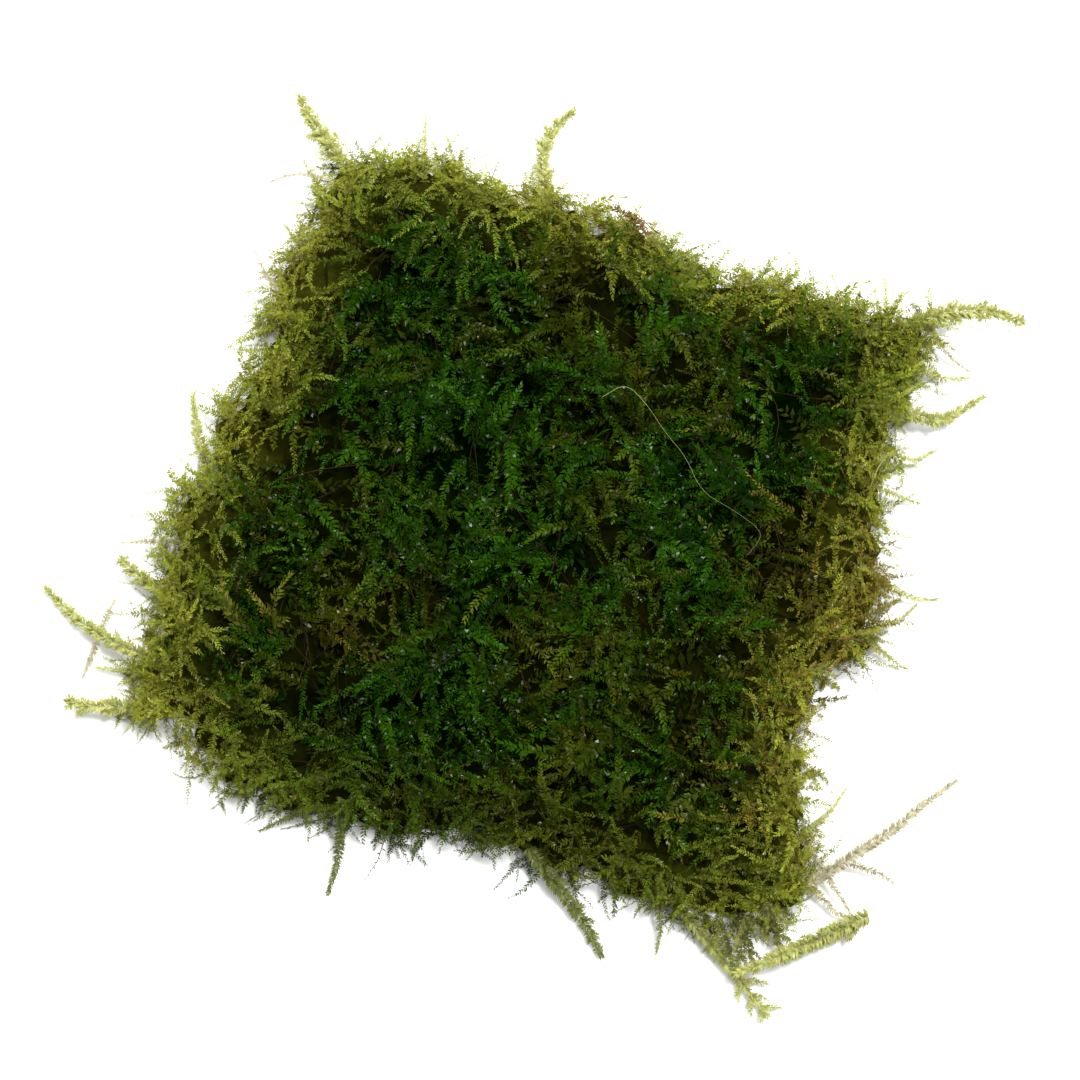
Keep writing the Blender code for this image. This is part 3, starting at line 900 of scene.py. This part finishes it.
class MOSS_OT_strands(bpy.types.Operator):
    """Lays the dead stems, the pale bent stem, the thread and the corner's green shoots on the mat"""
    bl_idname = "moss.strands"
    bl_label = "Stems and Thread"

    def execute(self, context):
        shape = mat_surface()
        surface = BVHTree.FromBMesh(shape)
        tree = tree_named("leafy shoot", leafy_shoot_tree)
        finishes = {"dead": plain_material("dead_moss_leaf", "3a2210", "75512e", 0.6, 0.7),
                    "pale": plain_material("bleached_stem", "5f6a3a", "8d9460", 0.6, 0.5),
                    "green": bpy.data.materials["thin_moss_leaf"]}
        for number, (name, (places, radius, spacing)) in enumerate(STRANDS.items()):
            points = []
            green = name.startswith("green")
            for x, y in places:
                hit = surface.ray_cast(Vector((x * MM, y * MM, 0.1)), Vector((0, 0, -1)))[0]
                lift = min(STRAND_LIFT, 0.5 * hit.z) if green and hit else STRAND_LIFT
                points.append(Vector((x * MM, y * MM, (hit.z if hit else 0.0) + lift)))
            line = [(point, 1.1 if spacing else 0.05, 0.0) for point in rounded(points)]
            lines = [line]
            if green:
                lines += side_branches(line[::3], np.random.default_rng(number), STRAND_BRANCHES)
            mesh = grown_mesh(shoot_curve(name, lines), tree, {
                "Leaf": bpy.data.objects["leaf"], "Leaf Spacing": (spacing or 3.0) * MM,
                "Leaf Angle": math.radians(50), "Roundness": 1.0, "Stem Radius": radius * MM,
                "Seed": number, "Material": finishes[name.split("_")[0]]}, name)
            if green:
                # A middling painted glow of light shining through.
                paint(mesh, glow=0.45, age=0.3, tone=0.3)
            piece = link(mesh, name)
            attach(piece, "root")
            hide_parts(MAT_NODE)
        shape.free()
        return {"FINISHED"}


# ---------------------------------------------------------------- stage

class MOSS_OT_stage(bpy.types.Operator):
    """A pale table, soft lights and a camera that looks down on the clump"""
    bl_idname = "moss.stage"
    bl_label = "Stage"

    def execute(self, context):
        scene = context.scene
        low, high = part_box(MAT_NODE)
        middle = (low + high) / 2
        bpy.ops.mesh.primitive_plane_add(size=3.0, location=(0, 0, 0))
        table = context.object
        table.name = "table_top"
        table.data.materials.append(plain_material("white_table", "f4f4f2", "fbfbfa", 60.0, 0.9))

        azimuth, elevation = math.radians(19), math.radians(78)
        away = Vector((math.sin(azimuth) * math.cos(elevation),
                       -math.cos(azimuth) * math.cos(elevation), math.sin(elevation)))
        right = Vector((math.cos(azimuth), math.sin(azimuth), 0.0))
        up = away.cross(right)
        lens, frame_width, sensor = 80.0, 0.1315, 36.0
        aim = Vector((0, 0, 0.006)) + right * -0.0019 + up * -0.0032
        data = bpy.data.cameras.new("camera")
        data.lens, data.sensor_width, data.clip_start = lens, sensor, 0.01
        camera = link(data, "camera")
        camera.matrix_world = Matrix.Translation(aim + away * frame_width * lens / sensor) @ Matrix(
            (right, up, away)).transposed().to_4x4()
        scene.camera = camera

        for name, place, size, watts in (("sky_panel", (0.05, 0.25, 0.55), 0.5, 4.4),
                                         ("side_panel", (-0.40, 0.20, 0.40), 0.25, 2.4),
                                         ("small_lamp", (0.12, 0.10, 0.5), 0.10, 2.5)):
            lamp = bpy.data.lights.new(name, "AREA")
            lamp.size, lamp.energy = size, watts
            light = link(lamp, name)
            light.location = place
            light.rotation_euler = (middle - Vector(place)).to_track_quat("-Z", "Y").to_euler()
        world = bpy.data.worlds.new("room")
        world.use_nodes = True
        world.node_tree.nodes["Background"].inputs["Color"].default_value = linear("f2f4f6")
        world.node_tree.nodes["Background"].inputs["Strength"].default_value = 0.35
        scene.world = world
        scene.view_settings.view_transform = "Standard"
        return {"FINISHED"}


class MOSS_PT_panel(bpy.types.Panel):
    """Lists the steps that make the clump"""
    bl_idname = "MOSS_PT_panel"
    bl_label = "Moss Clump"
    bl_space_type = "VIEW_3D"
    bl_region_type = "UI"
    bl_category = "Moss"

    def draw(self, context):
        for group in ("moss_leaf", "moss_cover", "moss_colour"):
            settings = getattr(context.scene, group)
            for name in settings.bl_rna.properties.keys():
                if name not in ("rna_type", "name"):
                    self.layout.prop(settings, name)
        for step in STEPS:
            self.layout.operator(step.bl_idname)


SETTINGS = {"moss_leaf": MossLeafSettings, "moss_cover": MossCoverSettings,
            "moss_colour": MossColourSettings}
STEPS = (MOSS_OT_shoot_kinds, MOSS_OT_cover, MOSS_OT_loose_shoots, MOSS_OT_strands, MOSS_OT_stage)


def register():
    for kind in (*SETTINGS.values(), *STEPS, MOSS_PT_panel):
        bpy.utils.register_class(kind)
    for name, kind in SETTINGS.items():
        setattr(bpy.types.Scene, name, PointerProperty(type=kind))


def unregister():
    for name in SETTINGS:
        delattr(bpy.types.Scene, name)
    for kind in (MOSS_PT_panel, *reversed(STEPS), *reversed(SETTINGS.values())):
        bpy.utils.unregister_class(kind)


def main():
    register()
    bpy.ops.moss.shoot_kinds()
    bpy.ops.moss.cover()
    bpy.ops.moss.loose_shoots()
    bpy.ops.moss.strands()
    bpy.ops.moss.stage()
    for name in KINDS:
        group = bpy.data.collections[name]
        for kind in list(group.objects):
            bpy.data.objects.remove(kind)
        bpy.data.collections.remove(group)
    for name in ("leaf", "slim_leaf"):
        bpy.data.objects.remove(bpy.data.objects[name])
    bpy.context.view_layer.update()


if __name__ == "__main__":
    main()
